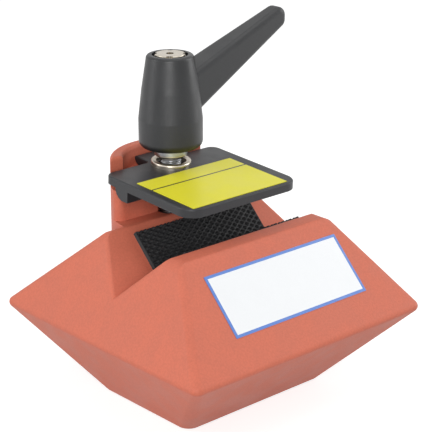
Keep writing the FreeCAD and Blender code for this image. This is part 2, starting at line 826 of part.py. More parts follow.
handle = new_body("lever_handle", y="stud_y")
arm_outline = draw_outline(
    new_sketch(handle, "arm_outline", "XZ_Plane"),
    [
        ("0", "arm_bottom_root"),
        ("arm_length", "arm_bottom_root + arm_bottom_rise"),
        ("arm_length", "arm_top_root + arm_top_rise"),
        ("0", "arm_top_root"),
    ],
)
feature(handle, "Pad", "arm", arm_outline, Type="Length", Midplane=True, Length="arm_root_half * 2")
taper_outline = new_sketch(handle, "taper_outline", "XY_Plane", "arm_top_root + arm_top_rise + cut_over")
taper = "cut_over * (arm_root_half - arm_tip_half) / arm_length"
for side in ("", "-"):
    draw_outline(taper_outline, [
        ("-cut_over", f"{side}(arm_root_half + {taper})"),
        ("arm_length + cut_over", f"{side}(arm_tip_half - {taper})"),
        ("arm_length + cut_over", f"{side}(arm_root_half + cut_over)"),
        ("-cut_over", f"{side}(arm_root_half + cut_over)"),
    ])
cut(
    handle, "Pocket", "arm_taper", taper_outline,
    Type="Length", Length="arm_top_root + arm_top_rise + 2 * cut_over - arm_bottom_root",
)
arm_end = value("arm_length")
round_edges(
    handle, "arm_tip_rounding", "arm_tip_round",
    lambda edge, middle: near(middle.x, arm_end) and near(middle.y, 0),
)
round_edges(
    handle, "arm_rounding", "arm_edge",
    lambda edge, middle: middle.x > 1 and abs(middle.y) > 1,
)
revolved(handle, "hub", [
    ("0", "hub_bottom"),
    ("hub_radius - hub_bottom_edge", "hub_bottom", "hub_bottom_edge", 1),
    ("hub_radius", "hub_bottom + hub_bottom_edge"),
    ("hub_radius", "hub_shoulder"),
    ("hub_neck_radius", "hub_neck_height"),
    ("hub_top_radius", "hub_top - hub_top_edge", "hub_top_edge", 1),
    ("hub_top_radius - hub_top_edge", "hub_top"),
    ("0", "hub_top"),
])
female_tip = "(spline_tip + spline_gap)"
revolved(handle, "hub_bores", [
    ("0", "hub_bottom"),
    ("hub_mouth_radius", "hub_bottom"),
    ("hub_mouth_radius", SPLINE_BOTTOM),
    (female_tip, SPLINE_BOTTOM),
    (female_tip, f"{SPLINE_TOP} + spline_gap"),
    ("shank_radius + hub_bore_gap", f"{SPLINE_TOP} + spline_gap"),
    ("shank_radius + hub_bore_gap", LEDGE_BOTTOM),
    ("screw_radius + hub_bore_gap", LEDGE_BOTTOM),
    ("screw_radius + hub_bore_gap", LEDGE_TOP),
    ("spring_chamber", LEDGE_TOP),
    ("spring_chamber", "hub_top - hub_rim_depth"),
    ("hub_rim_radius", "hub_top - hub_rim_depth"),
    ("hub_rim_radius", "hub_top"),
    ("0", "hub_top"),
], kind="Groove")
rib_apex = "(spline_root + spline_play)"
rib_slope = f"({notch_half} / ({notch_reach} - spline_root))"
rib_back = f"({female_tip} + spline_overlap)"
spline_rib_outline = draw_outline(
    new_sketch(handle, "spline_rib_outline", "XY_Plane", SPLINE_BOTTOM),
    [
        (rib_apex, "0"),
        (rib_back, f"-({rib_back} - {rib_apex}) * {rib_slope}"),
        (rib_back, f"({rib_back} - {rib_apex}) * {rib_slope}"),
    ],
)
spline_rib = feature(handle, "Pad", "spline_rib", spline_rib_outline, Type="Length", Length="spline_length")
around_stud(handle, "spline_ribs", spline_rib, "spline_teeth")

helix_tube(
    "ratchet_spring",
    wire=value("ratchet_wire"),
    radius=value("ratchet_radius"),
    bottom=value(f"{LEDGE_TOP} + spring_end_gap"),
    top=value("screw_head_bottom - spring_end_gap"),
    turns=value("ratchet_turns"),
)


# Proof that every object is sound, then one file for each sub-part

doc.recompute()
for thing in doc.Objects:
    assert not {"Invalid", "Error"} & set(thing.State), f"{thing.Name} is {thing.State}"
pieces = [
    thing for thing in doc.Objects
    if thing.TypeId in ("PartDesign::Body", "Part::Box", "Part::Feature")
]
for piece in pieces:
    assert not piece.Shape.isNull() and piece.Shape.isValid(), f"{piece.Label} is not a sound solid"
os.makedirs("parts", exist_ok=True)
for piece in pieces:
    box = piece.Shape.BoundBox
    print(f"{piece.Label}: {len(piece.Shape.Solids)} solid, {piece.Shape.Volume:.1f} cubic mm,",
          f"z {box.ZMin:.2f} to {box.ZMax:.2f}")
    piece.Shape.exportStep(f"parts/{piece.Label}.step")
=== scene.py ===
"""Stage weight, dressed for the camera: finishes, knurled pads, springs, thread and studio."""

import functools
import logging
import math
from dataclasses import dataclass
from enum import Enum

import bpy
import numpy as np
from mathutils import Matrix, Vector


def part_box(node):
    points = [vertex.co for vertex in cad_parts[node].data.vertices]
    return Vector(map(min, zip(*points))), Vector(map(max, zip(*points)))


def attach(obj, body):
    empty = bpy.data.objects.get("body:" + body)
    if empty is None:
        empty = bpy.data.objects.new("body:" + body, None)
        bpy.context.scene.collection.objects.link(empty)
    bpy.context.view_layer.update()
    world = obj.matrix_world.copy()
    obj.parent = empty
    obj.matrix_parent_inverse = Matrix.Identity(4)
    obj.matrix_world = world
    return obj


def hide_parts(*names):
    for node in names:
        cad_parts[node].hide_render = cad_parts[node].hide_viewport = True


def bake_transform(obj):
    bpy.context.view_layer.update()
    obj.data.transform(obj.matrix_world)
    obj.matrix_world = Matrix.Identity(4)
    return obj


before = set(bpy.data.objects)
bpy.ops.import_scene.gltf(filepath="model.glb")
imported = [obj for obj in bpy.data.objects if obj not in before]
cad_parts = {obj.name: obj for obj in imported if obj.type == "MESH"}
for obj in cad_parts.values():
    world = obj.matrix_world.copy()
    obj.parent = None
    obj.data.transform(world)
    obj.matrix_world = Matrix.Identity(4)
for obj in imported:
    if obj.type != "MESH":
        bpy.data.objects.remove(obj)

LOG = logging.getLogger("stage_weight")
MM = 0.001
MM_PER_METRE = 1000.0
WHITE = (1.0, 1.0, 1.0, 1.0)

Colour = tuple[int, int, int]
Point = tuple[float, float, float]
Source = bpy.types.NodeSocket | float | tuple


class Side(Enum):
    """Which side of the groove a pad lies on: the sign of its Y."""

    FRONT = -1.0
    REAR = 1.0


def linear(colour: Colour) -> tuple[float, float, float, float]:
    """Turn a screen colour, 0 to 255, into linear light.

    Args:
        colour: Red, green and blue as a screen shows them.

    Returns:
        The colour that a shader socket takes, with full alpha.
    """
    levels = [level / 255 for level in colour]
    red, green, blue = (
        level / 12.92 if level <= 0.04045 else ((level + 0.055) / 1.055) ** 2.4 for level in levels
    )
    return (red, green, blue, 1.0)


class Wiring:
    """Adds nodes to one shader tree and joins them."""

    def __init__(self, tree: bpy.types.NodeTree) -> None:
        """Keep the tree that the nodes go in."""
        self.tree = tree

    def node(self, kind: str, inputs: dict | None = None, **settings) -> bpy.types.Node:
        """Add one node.

        Args:
            kind: The node's type, as bpy names it.
            inputs: Values or other nodes' outputs, by socket name or number.
            **settings: Properties of the node itself.

        Returns:
            The new node.
        """
        made = self.tree.nodes.new(kind)
        for name, setting in settings.items():
            setattr(made, name, setting)
        for name, source in (inputs or {}).items():
            self.feed(made.inputs[name], source)
        return made

    def feed(self, socket: bpy.types.NodeSocket, source: Source) -> None:
        """Join an output to a socket, or set the socket's own value.

        Args:
            socket: The input socket.
            source: Another node's output, or a plain value.
        """
        if isinstance(source, bpy.types.NodeSocket):
            self.tree.links.new(source, socket)
        else:
            socket.default_value = source

    def math(
        self, operation: str, first: Source, second: Source = 0.0, third: Source = 0.0
    ) -> bpy.types.NodeSocket:
        """Add a Math node.

        Args:
            operation: The node's operation, such as ADD.
            first: Its first value or source.
            second: Its second value or source.
            third: Its third value or source.

        Returns:
            The node's output.
        """
        inputs = {0: first, 1: second, 2: third}
        return self.node("ShaderNodeMath", inputs, operation=operation).outputs[0]

    def ramp(self, source: Source, low: float, high: float) -> bpy.types.NodeSocket:
        """Map a range of a source smoothly on 0 to 1.

        Args:
            source: The value to map.
            low: Where the result starts to rise.
            high: Where it reaches 1.

        Returns:
            The mapped value.
        """
        inputs = {"Value": source, "From Min": low, "From Max": high}
        made = self.node("ShaderNodeMapRange", inputs, interpolation_type="SMOOTHSTEP")
        return made.outputs["Result"]

    def mix(self, factor: Source, first: Source, second: Source) -> bpy.types.NodeSocket:
        """Blend two colours.

        Args:
            factor: 0 for the first colour, 1 for the second.
            first: A colour or its source.
            second: A colour or its source.

        Returns:
            The blended colour.
        """
        made = self.node("ShaderNodeMix", {0: factor, 6: first, 7: second}, data_type="RGBA")
        return made.outputs[2]


def effect(
    name: str, inputs: dict[str, float], outputs: dict[str, str]
) -> tuple[Wiring, dict, dict]:
    """Start a shader node group.

    Args:
        name: The group's name.
        inputs: Its float inputs and their first values.
        outputs: Its outputs and their socket types.

    Returns:
        The wiring of the group, its input sockets by name and its output sockets by name.
    """
    tree = bpy.data.node_groups.new(name, "ShaderNodeTree")
    for label, start in inputs.items():
        socket = tree.interface.new_socket(label, in_out="INPUT", socket_type="NodeSocketFloat")
        socket.default_value = start
    for label, kind in outputs.items():
        tree.interface.new_socket(label, in_out="OUTPUT", socket_type=kind)
    wiring = Wiring(tree)
    entry = wiring.node("NodeGroupInput")
    leave = wiring.node("NodeGroupOutput")
    return wiring, entry.outputs, leave.inputs


@functools.cache
def fine_grain() -> bpy.types.NodeTree:
    """Build the fine skin of a sprayed or moulded surface.

    Returns:
        A group with a height, a speckle mask and a slow mottle mask.
    """
    wiring, given, result = effect(
        "fine_grain",
        {"Grain": 0.5, "Waviness": 8.0},
        {"Height": "NodeSocketFloat", "Speckle": "NodeSocketFloat", "Mottle": "NodeSocketFloat"},
    )
    place = wiring.node("ShaderNodeTexCoord").outputs["Object"]
    fine = wiring.math("DIVIDE", MM_PER_METRE, given["Grain"])
    slow = wiring.math("DIVIDE", MM_PER_METRE, given["Waviness"])
    coarse = wiring.math("MULTIPLY", fine, 0.7)
    skin = wiring.node("ShaderNodeTexNoise", {"Vector": place, "Scale": fine, "Detail": 2.0})
    waves = wiring.node("ShaderNodeTexNoise", {"Vector": place, "Scale": slow, "Detail": 3.0})
    dots = wiring.node("ShaderNodeTexNoise", {"Vector": place, "Scale": coarse})
    wiring.feed(result["Height"], skin.outputs[0])
    wiring.feed(result["Speckle"], wiring.ramp(dots.outputs[0], 0.3, 0.7))
    wiring.feed(result["Mottle"], wiring.ramp(waves.outputs[0], 0.35, 0.65))
    return wiring.tree


@functools.cache
def painted_edge_highlight() -> bpy.types.NodeTree:
    """Build the mask of outer edges, where a lighter colour is laid as a painted highlight.

    Returns:
        A group with a mask that is 1 on the edges and broken up by noise.
    """
    wiring, given, result = effect(
        "painted_edge_highlight", {"Radius": 0.6, "Breakup": 3.0}, {"Mask": "NodeSocketFloat"}
    )
    reach = wiring.math("MULTIPLY", given["Radius"], MM)
    bevel = wiring.node("ShaderNodeBevel", {"Radius": reach}, samples=4)
    face = wiring.node("ShaderNodeNewGeometry").outputs["Normal"]
    sides = {0: bevel.outputs[0], 1: face}
    turn = wiring.node("ShaderNodeVectorMath", sides, operation="DOT_PRODUCT")
    bent = wiring.math("SUBTRACT", 1.0, turn.outputs["Value"])
    place = wiring.node("ShaderNodeTexCoord").outputs["Object"]
    scale = wiring.math("DIVIDE", MM_PER_METRE, given["Breakup"])
    noise = wiring.node("ShaderNodeTexNoise", {"Vector": place, "Scale": scale, "Detail": 4.0})
    edges = wiring.ramp(bent, 0.01, 0.12)
    patches = wiring.ramp(noise.outputs[0], 0.4, 0.62)
    wiring.feed(result["Mask"], wiring.math("MULTIPLY", edges, patches))
    return wiring.tree


@functools.cache
def card_frame() -> bpy.types.NodeTree:
    """Build the printed line that runs round a label.

    Returns:
        A group with the line's mask. Along and Across are millimetres from the label's centre.
    """
    wiring, given, result = effect(
        "card_frame",
        {"Along": 0.0, "Across": 0.0, "Half Length": 30.0, "Half Width": 12.0, "Line": 0.9},
        {"Mask": "NodeSocketFloat"},
    )
    ends = wiring.math("SUBTRACT", given["Half Length"], wiring.math("ABSOLUTE", given["Along"]))
    sides = wiring.math("SUBTRACT", given["Half Width"], wiring.math("ABSOLUTE", given["Across"]))
    inset = wiring.math("MINIMUM", ends, sides)
    line = wiring.math("LESS_THAN", inset, given["Line"])
    wiring.feed(result["Mask"], line)
    return wiring.tree


@functools.cache
def turned_rings() -> bpy.types.NodeTree:
    """Build the fine rings that a lathe leaves round an upright axis.

    Returns:
        A group with the rings' height. Centre Y is in millimetres.
    """
    wiring, given, result = effect(
        "turned_rings", {"Centre Y": 0.0, "Pitch": 0.12}, {"Height": "NodeSocketFloat"}
    )
    local = wiring.node("ShaderNodeTexCoord").outputs["Object"]
    place = wiring.node("ShaderNodeSeparateXYZ", {0: local})
    across = wiring.math("MULTIPLY", place.outputs["X"], MM_PER_METRE)
    shift = wiring.math("MULTIPLY", given["Centre Y"], -1.0)
    along = wiring.math("MULTIPLY_ADD", place.outputs["Y"], MM_PER_METRE, shift)
    across_square = wiring.math("MULTIPLY", across, across)
    along_square = wiring.math("MULTIPLY", along, along)
    distance = wiring.math("SQRT", wiring.math("ADD", across_square, along_square))
    turns = wiring.math("MULTIPLY", wiring.math("DIVIDE", distance, given["Pitch"]), 2 * math.pi)
    wiring.feed(result["Height"], wiring.math("SINE", turns))
    return wiring.tree


@dataclass(frozen=True)
class Finish:
    """A surface finish with a fine skin, a colour that varies a little and a painted highlight on
    its outer edges.

    Sizes are in millimetres. The shares say how much of the colour's change each mask makes.
    """

    name: str
    colour: Colour
    roughness: float
    variation: float = 0.08
    metallic: float = 0.0
    specular: float = 0.5
    grain: float = 0.5
    waviness: float = 8.0
    skin_depth: float = 0.03
    # Painted highlight: the outer edges are lightened towards this colour, over this radius and by
    # this share.
    highlight_colour: Colour | None = None
    highlight_radius: float = 0.6
    highlight_strength: float = 0.5
    speckle_share: float = 0.6
    mottle_share: float = 0.4
    gloss_swing: float = 0.08

    def material(self) -> bpy.types.Material:
        """Make the material, or return it where it already exists.

        Returns:
            The material, with its own Principled BSDF.
        """
        found = bpy.data.materials.get(self.name)
        if found:
            return found
        made = bpy.data.materials.new(self.name)
        made.use_nodes = True
        made.node_tree.nodes.clear()
        wiring = Wiring(made.node_tree)
        shader = wiring.node(
            "ShaderNodeBsdfPrincipled",
            {"Metallic": self.metallic, "Specular IOR Level": self.specular},
        )
        self.wire(wiring, shader)
        wiring.node("ShaderNodeOutputMaterial", {"Surface": shader.outputs[0]})
        return made

    def wire(self, wiring: Wiring, shader: bpy.types.Node) -> None:
        """Feed the shader's colour, roughness and normal.

        Args:
            wiring: The material's wiring.
            shader: Its Principled BSDF.
        """
        skin = wiring.node("ShaderNodeGroup", node_tree=fine_grain())
        wiring.feed(skin.inputs["Grain"], self.grain)
        wiring.feed(skin.inputs["Waviness"], self.waviness)
        wiring.feed(shader.inputs["Base Color"], self.tint(wiring, skin))
        wiring.feed(shader.inputs["Roughness"], self.gloss(wiring, skin))
        wiring.feed(shader.inputs["Normal"], self.relief(wiring, skin))

    def tint(self, wiring: Wiring, skin: bpy.types.Node) -> bpy.types.NodeSocket:
        """Mix the base colour.

        Args:
            wiring: The material's wiring.
            skin: Its fine grain.

        Returns:
            The colour's source.
        """
        red, green, blue, alpha = linear(self.colour)
        low, high = 1.0 - self.variation, 1.0 + self.variation
        dark = (red * low, green * low, blue * low, alpha)
        light = (red * high, green * high, blue * high, alpha)
        speckle = wiring.math("MULTIPLY", skin.outputs["Speckle"], self.speckle_share)
        mottle = skin.outputs["Mottle"]
        blend = wiring.math("MULTIPLY_ADD", mottle, self.mottle_share, speckle)
        colour = wiring.mix(blend, dark, light)
        if self.highlight_colour is None:
            return colour
        # Painted highlight: a lighter colour laid on the outer edges, broken up by noise.
        highlight_group = wiring.node("ShaderNodeGroup", node_tree=painted_edge_highlight())
        wiring.feed(highlight_group.inputs["Radius"], self.highlight_radius)
        share = wiring.math("MULTIPLY", highlight_group.outputs["Mask"], self.highlight_strength)
        return wiring.mix(share, colour, linear(self.highlight_colour))

    def gloss(self, wiring: Wiring, skin: bpy.types.Node) -> bpy.types.NodeSocket:
        """Vary the roughness a little with the mottle.

        Args:
            wiring: The material's wiring.
            skin: Its fine grain.

        Returns:
            The roughness's source.
        """
        lowest = self.roughness - self.gloss_swing / 2
        return wiring.math("MULTIPLY_ADD", skin.outputs["Mottle"], self.gloss_swing, lowest)

    def relief(self, wiring: Wiring, skin: bpy.types.Node) -> bpy.types.NodeSocket:
        """Raise the skin as a bump.

        Args:
            wiring: The material's wiring.
            skin: Its fine grain.

        Returns:
            The normal's source.
        """
        inputs = {
            "Height": skin.outputs["Height"],
            "Distance": self.skin_depth * MM,
            "Strength": 1.0,
        }
        return wiring.node("ShaderNodeBump", inputs).outputs[0]


@dataclass(frozen=True)
class TurnedFinish(Finish):
    """Bright metal turned on a lathe, its rings centred on an upright axis."""

    centre_y: float = 0.0
    pitch: float = 0.12
    ring_depth: float = 0.002

    def relief(self, wiring: Wiring, skin: bpy.types.Node) -> bpy.types.NodeSocket:
        """Raise the lathe's rings as a bump.

        Args:
            wiring: The material's wiring.
            skin: Its fine grain.

        Returns:
            The normal's source.
        """
        rings = wiring.node("ShaderNodeGroup", node_tree=turned_rings())
        wiring.feed(rings.inputs["Centre Y"], self.centre_y)
        wiring.feed(rings.inputs["Pitch"], self.pitch)
        inputs = {
            "Height": rings.outputs["Height"],
            "Distance": self.ring_depth * MM,
            "Strength": 1.0,
        }
        return wiring.node("ShaderNodeBump", inputs).outputs[0]


@dataclass(frozen=True)
class CardFinish(Finish):
    """A printed label: a ground colour, a line round its edge and, if wanted, one line across."""

    line_colour: Colour = (0, 0, 0)
    line: float = 0.9
    centre: Point = (0.0, 0.0, 0.0)
    across: Point = (0.0, 1.0, 0.0)
    half_length: float = 30.0
    half_width: float = 12.0
    divider: float | None = None
    divider_half: float = 0.25

    def tint(self, wiring: Wiring, skin: bpy.types.Node) -> bpy.types.NodeSocket:
        """Print the lines on the ground colour.

        Args:
            wiring: The material's wiring.
            skin: Its fine grain.

        Returns:
            The colour's source.
        """
        ground = super().tint(wiring, skin)
        place = wiring.node("ShaderNodeTexCoord").outputs["Object"]
        moved = wiring.node(
            "ShaderNodeVectorMath", {0: place, 1: self.centre}, operation="SUBTRACT"
        )
        shift = moved.outputs[0]
        parted = wiring.node("ShaderNodeSeparateXYZ", {0: shift})
        along = wiring.math("MULTIPLY", parted.outputs["X"], MM_PER_METRE)
        dot = wiring.node(
            "ShaderNodeVectorMath", {0: shift, 1: self.across}, operation="DOT_PRODUCT"
        )
        across = wiring.math("MULTIPLY", dot.outputs["Value"], MM_PER_METRE)
        card = wiring.node("ShaderNodeGroup", node_tree=card_frame())
        sizes = {
            "Along": along,
            "Across": across,
            "Half Length": self.half_length,
            "Half Width": self.half_width,
            "Line": self.line,
        }
        for name, source in sizes.items():
            wiring.feed(card.inputs[name], source)
        mask = card.outputs["Mask"]
        if self.divider is not None:
            near = wiring.math("ABSOLUTE", wiring.math("SUBTRACT", across, self.divider))
            rule = wiring.math("LESS_THAN", near, self.divider_half)
            mask = wiring.math("MAXIMUM", mask, rule)
        return wiring.mix(mask, ground, linear(self.line_colour))


def solid(
    name: str, points: np.ndarray, faces: list[tuple[int, ...]], finish: Finish
) -> bpy.types.Object:
    """Make one mesh piece.

    Args:
        name: The piece's name.
        points: Its vertices, one row each, in metres.
        faces: Its faces, as rows of vertex numbers.
        finish: What it is finished with.

    Returns:
        The piece, in the scene's collection.
    """
    mesh = bpy.data.meshes.new(name)
    mesh.from_pydata([tuple(row) for row in points.tolist()], [], faces)
    mesh.validate()
    mesh.shade_smooth()
    mesh.materials.append(finish.material())
    piece = bpy.data.objects.new(name, mesh)
    bpy.context.scene.collection.objects.link(piece)
    return piece


def grid_faces(rows: int, columns: int, closed: bool = False) -> list[tuple[int, ...]]:
    """List the quads of a grid of vertices.

    Args:
        rows: How many rows of vertices there are.
        columns: How many vertices a row has.
        closed: Whether each row's end joins its start.

    Returns:
        The quads, as vertex numbers.
    """
    faces = []
    for row in range(rows - 1):
        for column in range(columns if closed else columns - 1):
            following = (column + 1) % columns
            first, second = row * columns, (row + 1) * columns
            faces.append((first + column, first + following, second + following, second + column))
    return faces


def tube_faces(rings: int, round_steps: int) -> list[tuple[int, ...]]:
    """List the faces of a closed tube of rings, with a cap at either end.

    Args:
        rings: How many rings of vertices there are.
        round_steps: How many vertices a ring has.

    Returns:
        The quads and the two caps, as vertex numbers.
    """
    faces = grid_faces(rings, round_steps, closed=True)
    last = (rings - 1) * round_steps
    faces.append(tuple(reversed(range(round_steps))))
    faces.append(tuple(range(last, last + round_steps)))
    return faces


def dress(node: str, finish: Finish) -> None:
    """Give a CAD node its finish.

    Args:
        node: The node's name.
        finish: What it is finished with.
    """
    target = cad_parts[node]
    if not target.material_slots:
        target.data.materials.append(None)
    for slot in target.material_slots:
        slot.link = "OBJECT"
        slot.material = finish.material()
    LOG.info("%s: dressed in %s", node, finish.name)


def slab_sizes(node: str) -> dict:
    """Measure a thin label: its centre, the way across it and its half sizes.

    Args:
        node: The label's node.

    Returns:
        centre, across, half_length and half_width for a CardFinish.
    """
    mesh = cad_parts[node].data
    widest = max(mesh.polygons, key=lambda polygon: polygon.area * (polygon.normal.z > 0))
    across = widest.normal.cross(Vector((1, 0, 0))).normalized()
    low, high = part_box(node)
    centre = (low + high) / 2
    reach = [abs((vertex.co - centre).dot(across)) for vertex in mesh.vertices]
    return {
        "centre": tuple(centre),
        "across": tuple(across if across.y > 0 else -across),
        "half_length": (high.x - low.x) / 2 / MM,
        "half_width": max(reach) / MM,
    }


@dataclass
class Casting:
    """The powder-coated body with its front label."""

    coat: Finish = Finish(
        "powder_coat",
        (204, 110, 86),
        roughness=0.55,
        variation=0.07,
        specular=0.35,
        grain=0.55,
        waviness=9.0,
        skin_depth=0.05,
        # Painted highlight: lighter red on the outer edges of the casting.
        highlight_colour=(218, 134, 112),
        highlight_radius=1.0,
        highlight_strength=0.35,
    )
    line: float = 1.15

    def dress(self) -> None:
        """Finish the casting and its label."""
        dress("weight_casting", self.coat)
        label = CardFinish(
            "printed_label",
            (238, 240, 242),
            roughness=0.35,
            variation=0.01,
            skin_depth=0.004,
            line_colour=(86, 128, 204),
            line=self.line,
            **slab_sizes("front_label"),
        )
        dress("front_label", label)


@dataclass
class GroovePad:
    """A knurled rubber pad on one face of the groove, built in its CAD solid's box.

    Sizes are in millimetres. A ridge is flat over its width and falls to the pit over wall.
    """

    node: str
    side: Side
    long_pitch: float = 3.94
    rise_pitch: float = 2.38
    depth: float = 0.9
    ridge: float = 0.35
    wall: float = 0.35
    margin: float = 0.5
    step: float = 0.24
    rubber: Finish = Finish(
        "moulded_rubber",
        (30, 30, 32),
        roughness=0.6,
        variation=0.15,
        specular=0.4,
        grain=0.35,
        waviness=5.0,
        skin_depth=0.02,
    )

    def height(self, along: np.ndarray, up: np.ndarray) -> np.ndarray:
        """Shape the knurl: two sets of crossing ridges with pits between them.

        Args:
            along: Distances along the groove, in millimetres.
            up: Distances up the face, in millimetres.

        Returns:
            How deep each point lies under the ridges' tops, in millimetres.
        """
        spacing = 1 / math.hypot(1 / self.long_pitch, 1 / self.rise_pitch)
        near = []
        for way in (1, -1):
            phase = along / self.long_pitch + way * up / self.rise_pitch
            near.append(np.abs(phase - np.round(phase)) * spacing)
        gap = np.minimum(*near)
        share = np.clip((gap - self.ridge / 2) / self.wall, 0, 1)
        share *= np.minimum(along, np.minimum(along.max() - along, up)) > self.margin
        return self.depth * share * share * (3 - 2 * share)

    def build(self) -> bpy.types.Object:
        """Make the pad's mesh and put it in the solid's place.

        Returns:
            The pad, which stands for its CAD node.
        """
        low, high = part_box(self.node)
        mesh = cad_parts[self.node].data
        face = max(mesh.polygons, key=lambda polygon: polygon.area * (polygon.normal.z > 0))
        normal = face.normal
        slope = Vector((0, self.side.value * normal.z, abs(normal.y)))
        corners = [vertex.co for vertex in mesh.vertices]
        level = max(corner.dot(normal) for corner in corners)
        base = min(corner.dot(normal) for corner in corners)
        start = min(corner.dot(slope) for corner in corners)
        end = max(corner.dot(slope) for corner in corners)
        along = np.append(np.arange(low.x, high.x, self.step * MM), high.x)
        up = np.append(np.arange(start, end, self.step * MM), end)
        grid_up, grid_along = np.meshgrid(up, along, indexing="ij")
        sunk = self.height((grid_along - low.x) / MM, (grid_up - start) / MM) * MM
        tops = self.place(grid_along, grid_up, level - sunk, slope, normal)
        soles = self.place(grid_along, grid_up, np.full_like(sunk, base), slope, normal)
        rows, columns = grid_up.shape
        points = np.concatenate([tops, soles])
        count = rows * columns
        rim = list(range(columns))
        rim += [row * columns + columns - 1 for row in range(1, rows)]
        rim += [(rows - 1) * columns + column for column in range(columns - 2, -1, -1)]
        rim += [row * columns for row in range(rows - 2, 0, -1)]
        walls = [
            (here, before, before + count, here + count)
            for here, before in zip(rim, rim[-1:] + rim[:-1])
        ]
        sole = tuple(number + count for number in rim)
        surface = grid_faces(rows, columns)
        pad = solid(self.node + "_knurl", points, surface + walls + [sole], self.rubber)
        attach(pad, "root")
        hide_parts(self.node)
        LOG.info("%s: %d knurl points", pad.name, count)
        return pad

    def place(
        self, along: np.ndarray, up: np.ndarray, level: np.ndarray, slope: Vector, normal: Vector
    ) -> np.ndarray:
        """Turn places on the pad's face into points of the frame.

        Args:
            along: Distances along X.
            up: Distances up the slope.
            level: Distances along the face's normal.
            slope: The way up the face.
            normal: The way out of the face.

        Returns:
            One row for each point.
        """
        height = up * slope.z + level * normal.z
        depth = up * slope.y + level * normal.y
        return np.stack([along, depth, height], axis=-1).reshape(-1, 3)


@dataclass
class CoilSpring:
    """A coil spring, built in its CAD solid's box.

    The wire is in millimetres. The end turns rise by end_rise of what the others do.
    """

    node: str
    lower_body: str
    upper_body: str
    material_slot: str
    steel: Finish
    wire: float
    turns: float
    end_rise: float = 0.28
    round_steps: int = 12
    turn_steps: int = 32

    def build(self) -> bpy.types.Object:
        """Make the spring's mesh in the CAD solid's box.

        Returns:
            The spring, which stands for its CAD node.
        """
        low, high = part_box(self.node)
        centre = (low + high) / 2
        reach = (high.x - low.x) / 2 - self.wire * MM / 2
        rings = int(self.turns * self.turn_steps) + 1
        turned = np.linspace(0, self.turns * 2 * math.pi, rings)
        share = np.linspace(0, 1, rings)
        ends = np.clip(np.minimum(share, 1 - share) * self.turns, 0, 1)
        rise = np.cumsum(self.end_rise + (1 - self.end_rise) * ends)
        rise = (rise - rise[0]) / (rise[-1] - rise[0])
        bottom, top = low.z + self.wire * MM / 2, high.z - self.wire * MM / 2
        line = np.stack(
            [
                centre.x + reach * np.cos(turned),
                centre.y + reach * np.sin(turned),
                bottom + rise * (top - bottom),
            ],
            axis=-1,
        )
        way = np.gradient(line, axis=0)
        way /= np.linalg.norm(way, axis=1)[:, None]
        outward = np.stack([np.cos(turned), np.sin(turned), np.zeros(rings)], axis=-1)
        upward = np.cross(way, outward)
        angles = np.linspace(0, 2 * math.pi, self.round_steps, endpoint=False)
        radius = self.wire * MM / 2
        aside = np.cos(angles)[None, :, None] * outward[:, None]
        above = np.sin(angles)[None, :, None] * upward[:, None]
        points = (line[:, None] + radius * (aside + above)).reshape(-1, 3)
        faces = tube_faces(rings, self.round_steps)
        spring = solid(self.node + "_coil", points, faces, self.steel)
        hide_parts(self.node)
        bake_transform(spring)
        LOG.info("%s: %d rings", spring.name, rings)
        return spring


@dataclass
class ThreadedStud:
    """The stud with a real rolled thread, built in its CAD solid's box.

    Sizes are in millimetres. Crest and flank are shares of half a pitch.
    """

    steel: Finish
    pitch: float = 1.25
    thread_depth: float = 0.7
    crest: float = 0.12
    flank: float = 0.72
    chamfer: float = 0.8
    round_steps: int = 40
    pitch_steps: int = 8

    def build(self) -> bpy.types.Object:
        """Make the thread as one surface whose radius follows the turn.

        Returns:
            The stud, which stands for its CAD node.
        """
        low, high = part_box("clamp_stud")
        centre = (low + high) / 2
        outer = (high.x - low.x) / 2
        length = high.z - low.z
        rings = int(length / (self.pitch * MM) * self.pitch_steps) + 1
        heights = np.linspace(0, length, rings)
        angles = np.linspace(0, 2 * math.pi, self.round_steps, endpoint=False)
        grid_height, grid_angle = np.meshgrid(heights, angles, indexing="ij")
        phase = grid_height / (self.pitch * MM) - grid_angle / (2 * math.pi)
        wave = np.abs(phase - np.round(phase)) * 2
        cut = np.clip((wave - self.crest) / self.flank, 0, 1)
        radius = outer - self.thread_depth * MM * cut
        ends = np.minimum(grid_height, length - grid_height)
        radius = np.minimum(radius, outer - self.chamfer * MM + ends)
        points = np.stack(
            [
                centre.x + radius * np.cos(grid_angle),
                centre.y + radius * np.sin(grid_angle),
                low.z + grid_height,
            ],
            axis=-1,
        ).reshape(-1, 3)
        faces = tube_faces(rings, self.round_steps)
        stud = solid("clamp_stud_thread", points, faces, self.steel)
        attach(stud, "root")
        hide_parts("clamp_stud")
        LOG.info("%s: %d rings", stud.name, rings)
        return stud


@dataclass
class ClampPlate:
    """The black plate with its yellow label and its seat ring."""

    coat: Finish = Finish(
        "satin_black_coat",
        (33, 34, 37),
        roughness=0.42,
        variation=0.10,
        specular=0.45,
        grain=0.4,
        waviness=10.0,
        skin_depth=0.012,
        # Painted highlight: grey on the outer edges of the black coat.
        highlight_colour=(86, 88, 92),
        highlight_radius=0.5,
        highlight_strength=0.3,
    )
    divider_share: float = 0.28

    def dress(self, bright: Finish) -> None:
        """Finish the plate, its label and the seat ring.

        Args:
            bright: The finish of the seat ring.
        """
        dress("clamp_plate", self.coat)
        sizes = slab_sizes("plate_label")
        half = sizes["half_width"]
        label = CardFinish(
            "yellow_film",
            (230, 223, 44),
            roughness=0.4,
            variation=0.02,
            skin_depth=0.004,
            line_colour=(30, 30, 26),
            line=0.0,
            divider=half - 2 * half * self.divider_share,
            divider_half=0.38,
            **sizes,
        )
        dress("plate_label", label)
        dress("thrust_washer", bright)


